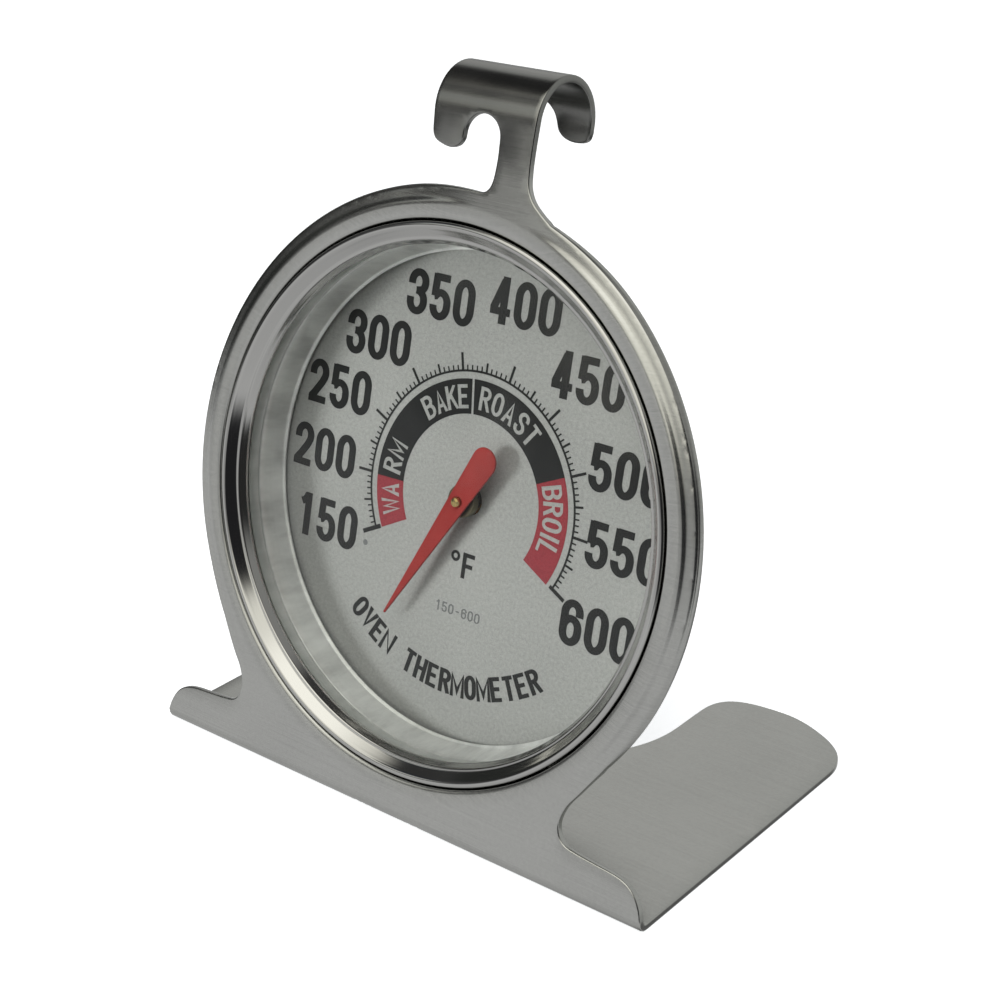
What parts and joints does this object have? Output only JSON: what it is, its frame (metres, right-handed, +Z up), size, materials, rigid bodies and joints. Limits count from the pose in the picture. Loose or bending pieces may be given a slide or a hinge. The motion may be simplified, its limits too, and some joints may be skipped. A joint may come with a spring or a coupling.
{
  "type": "oven thermometer",
  "caption": "Round dial bimetal oven thermometer on a folded sheet-metal stand that leans back, with a rack hook above the dial.",
  "frame": {"origin": "on the floor, midway across and midway along the foot", "axes": "+Z up, the dial faces -Y and leans back so it looks slightly up, +X to the right as seen from the front"},
  "size_m": [0.0682, 0.0456, 0.0786],
  "materials": {
    "brushed_stainless": "rolled and lightly brushed",
    "case_stainless": "deep-drawn, mill finish",
    "polished_stainless": "polished",
    "lens_glass": "clear flat glass",
    "spacer_stainless": "rolled strip, streaky",
    "dial_satin": "satin silver with printed scale",
    "print_black": "screen-printed ink",
    "print_red": "screen-printed ink",
    "pointer_red": "semi-gloss red paint",
    "plain_steel": "plain",
    "movement_brass": "turned",
    "staff_brass": "turned",
    "bimetal_strip": "heat-tinted strip"
  },
  "bodies": {
    "root": {"stand_frame": "brushed_stainless", "case_cup": "case_stainless", "bezel_ring": "polished_stainless", "glass_lens": "lens_glass", "spacer_ring": "spacer_stainless", "dial_plate": "dial_satin", "dial_pin_left": "plain_steel", "dial_pin_right": "plain_steel", "movement_bridge": "plain_steel", "bridge_rivet_left": "plain_steel", "bridge_rivet_right": "plain_steel", "front_bushing": "movement_brass", "rear_bearing": "movement_brass", "bimetal_coil": "bimetal_strip", "coil_anchor_post": "plain_steel"},
    "pointer_set": {"pointer": "pointer_red", "pointer_hub": "movement_brass", "pointer_staff": "staff_brass", "staff_washer": "movement_brass", "coil_arbor": "movement_brass"}
  },
  "joints": [
    {"name": "pointer_swing", "type": "hinge", "parent": "root", "child": "pointer_set", "pos_m": [0, -0.00953, 0.03322], "axis": [0, 0.9755, -0.2198], "range_deg": [-25, 278]}
  ]
}
